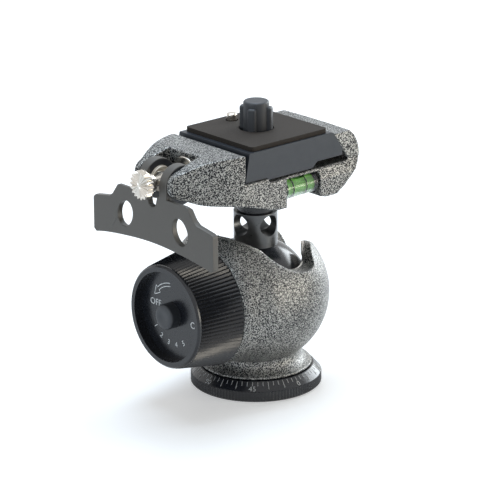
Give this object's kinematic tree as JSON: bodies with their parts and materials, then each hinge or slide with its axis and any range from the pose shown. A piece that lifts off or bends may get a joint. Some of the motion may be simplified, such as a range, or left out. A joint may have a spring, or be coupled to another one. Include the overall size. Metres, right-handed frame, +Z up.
{
  "type": "tripod ball head",
  "caption": "Tripod ball head: a speckled cast body holds a ball with a drop notch and a large side lock knob, under a quick-release clamp with lever, spirit level and camera plate.",
  "frame": {"origin": "bottom centre of the base disc, on the pan axis", "axes": "+Z up along the pan axis; -X towards the ball-lock knob and the release lever, +X towards the drop notch; +Y to the pan-lock knob"},
  "size_m": [0.1061, 0.0794, 0.1252],
  "materials": {
    "cast_speckle": "speckled crackle paint",
    "black_anodised": "satin black anodised",
    "plate_black": "satin dark grey anodised",
    "ball_black": "glossy dark coated",
    "bright_steel": "nickelled",
    "dark_steel": "blackened",
    "brass": "turned",
    "lever_grey": "matte warm grey",
    "pad_rubber": "matte",
    "cap_black": "satin moulded",
    "white_plastic": "slippery",
    "clear": "clear",
    "fluid_green": "clear green",
    "vial_black": "satin"
  },
  "bodies": {
    "base": {"base_disc": "black_anodised", "thread_bush": "bright_steel", "pan_axle": "dark_steel", "base_screws": "bright_steel"},
    "housing": {"housing": "cast_speckle", "pan_washer": "white_plastic", "lock_bush": "brass", "ball_seat": "white_plastic"},
    "ball_lock": {"ball_lock_knob": "black_anodised", "knob_cap": "black_anodised", "knob_screw": "dark_steel", "lock_screw": "bright_steel"},
    "piston": {"lock_piston": "bright_steel"},
    "pad": {"piston_pad": "white_plastic"},
    "pan_lock": {"pan_lock_knob": "black_anodised", "pan_lock_screw": "bright_steel"},
    "shoe": {"pan_shoe": "brass"},
    "ball": {"ball": "ball_black"},
    "platform": {"neck": "dark_steel", "neck_collar": "black_anodised", "platform_nut": "bright_steel", "platform_washer": "bright_steel", "clamp_body": "cast_speckle", "cam_washer": "bright_steel", "vial_tube": "clear", "vial_fluid": "fluid_green", "vial_caps": "vial_black"},
    "lever": {"clamp_lever": "lever_grey", "barrel_nut": "bright_steel"},
    "adjuster": {"adjuster_screw": "bright_steel"},
    "jaw": {"pressure_jaw": "plate_black"},
    "plate": {"camera_plate": "plate_black", "plate_pad": "pad_rubber", "pin_plug": "dark_steel", "screw_clip": "dark_steel", "pin_spring": "bright_steel"},
    "camera_screw": {"camera_screw": "bright_steel"},
    "cap": {"screw_cap": "cap_black"},
    "pin": {"index_pin": "bright_steel"}
  },
  "joints": [
    {"name": "pan", "type": "hinge", "parent": "base", "child": "housing", "pos_m": [0, 0, 0.012], "axis": [0, 0, 1], "continuous": true},
    {"name": "ball_side_tilt", "type": "hinge", "parent": "housing", "child": "pad", "pos_m": [0, 0, 0.0408], "axis": [1, 0, 0], "range_deg": [-20, 20]},
    {"name": "ball_tilt", "type": "hinge", "parent": "pad", "child": "ball", "pos_m": [0, 0, 0.0408], "axis": [0, 1, 0], "range_deg": [-15, 90]},
    {"name": "ball_spin", "type": "hinge", "parent": "ball", "child": "platform", "pos_m": [0, 0, 0.0408], "axis": [0, 0, 1], "continuous": true},
    {"name": "ball_lock_turn", "type": "hinge", "parent": "housing", "child": "ball_lock", "pos_m": [-0.04, 0, 0.0408], "axis": [-1, 0, 0], "range_deg": [0, 150]},
    {"name": "piston_release", "type": "slide", "parent": "housing", "child": "piston", "axis": [-1, 0, 0], "range_m": [0, 0.00026]},
    {"name": "pan_lock_turn", "type": "hinge", "parent": "housing", "child": "pan_lock", "pos_m": [0, 0.035, 0.015], "axis": [0, 1, 0], "range_deg": [0, 180]},
    {"name": "shoe_release", "type": "slide", "parent": "housing", "child": "shoe", "axis": [0, 1, 0], "range_m": [0, 0.00026]},
    {"name": "lever_swing", "type": "hinge", "parent": "platform", "child": "lever", "pos_m": [-0.05, 0, 0.1011], "axis": [0, 1, 0], "range_deg": [0, 90]},
    {"name": "adjuster_turn", "type": "hinge", "parent": "lever", "child": "adjuster", "pos_m": [-0.05, 0, 0.1011], "axis": [1, 0, 0], "continuous": true},
    {"name": "jaw_release", "type": "slide", "parent": "platform", "child": "jaw", "axis": [-1, 0, 0], "range_m": [0, 0.00081]},
    {"name": "plate_slide", "type": "slide", "parent": "platform", "child": "plate", "axis": [0, -1, 0], "range_m": [0, 0.05]},
    {"name": "camera_screw_turn", "type": "hinge", "parent": "plate", "child": "camera_screw", "pos_m": [0.0006, 0, 0.105], "axis": [0, 0, 1], "continuous": true},
    {"name": "cap_lift", "type": "slide", "parent": "camera_screw", "child": "cap", "axis": [0, 0, 1], "range_m": [0, 0.02]},
    {"name": "pin_press", "type": "slide", "parent": "plate", "child": "pin", "axis": [0, 0, -1], "range_m": [0, 0.0026], "stiffness_N_per_m": 400, "springref_m": -0.002, "deforming": ["pin_spring"]}
  ],
  "couplings": [
    {"joint": "piston_release", "follows": "ball_lock_turn", "m_per_rad": 0.000095493},
    {"joint": "shoe_release", "follows": "pan_lock_turn", "m_per_rad": 0.000079577},
    {"joint": "jaw_release", "follows": "lever_swing", "m_per_rad": 0.0005093}
  ]
}
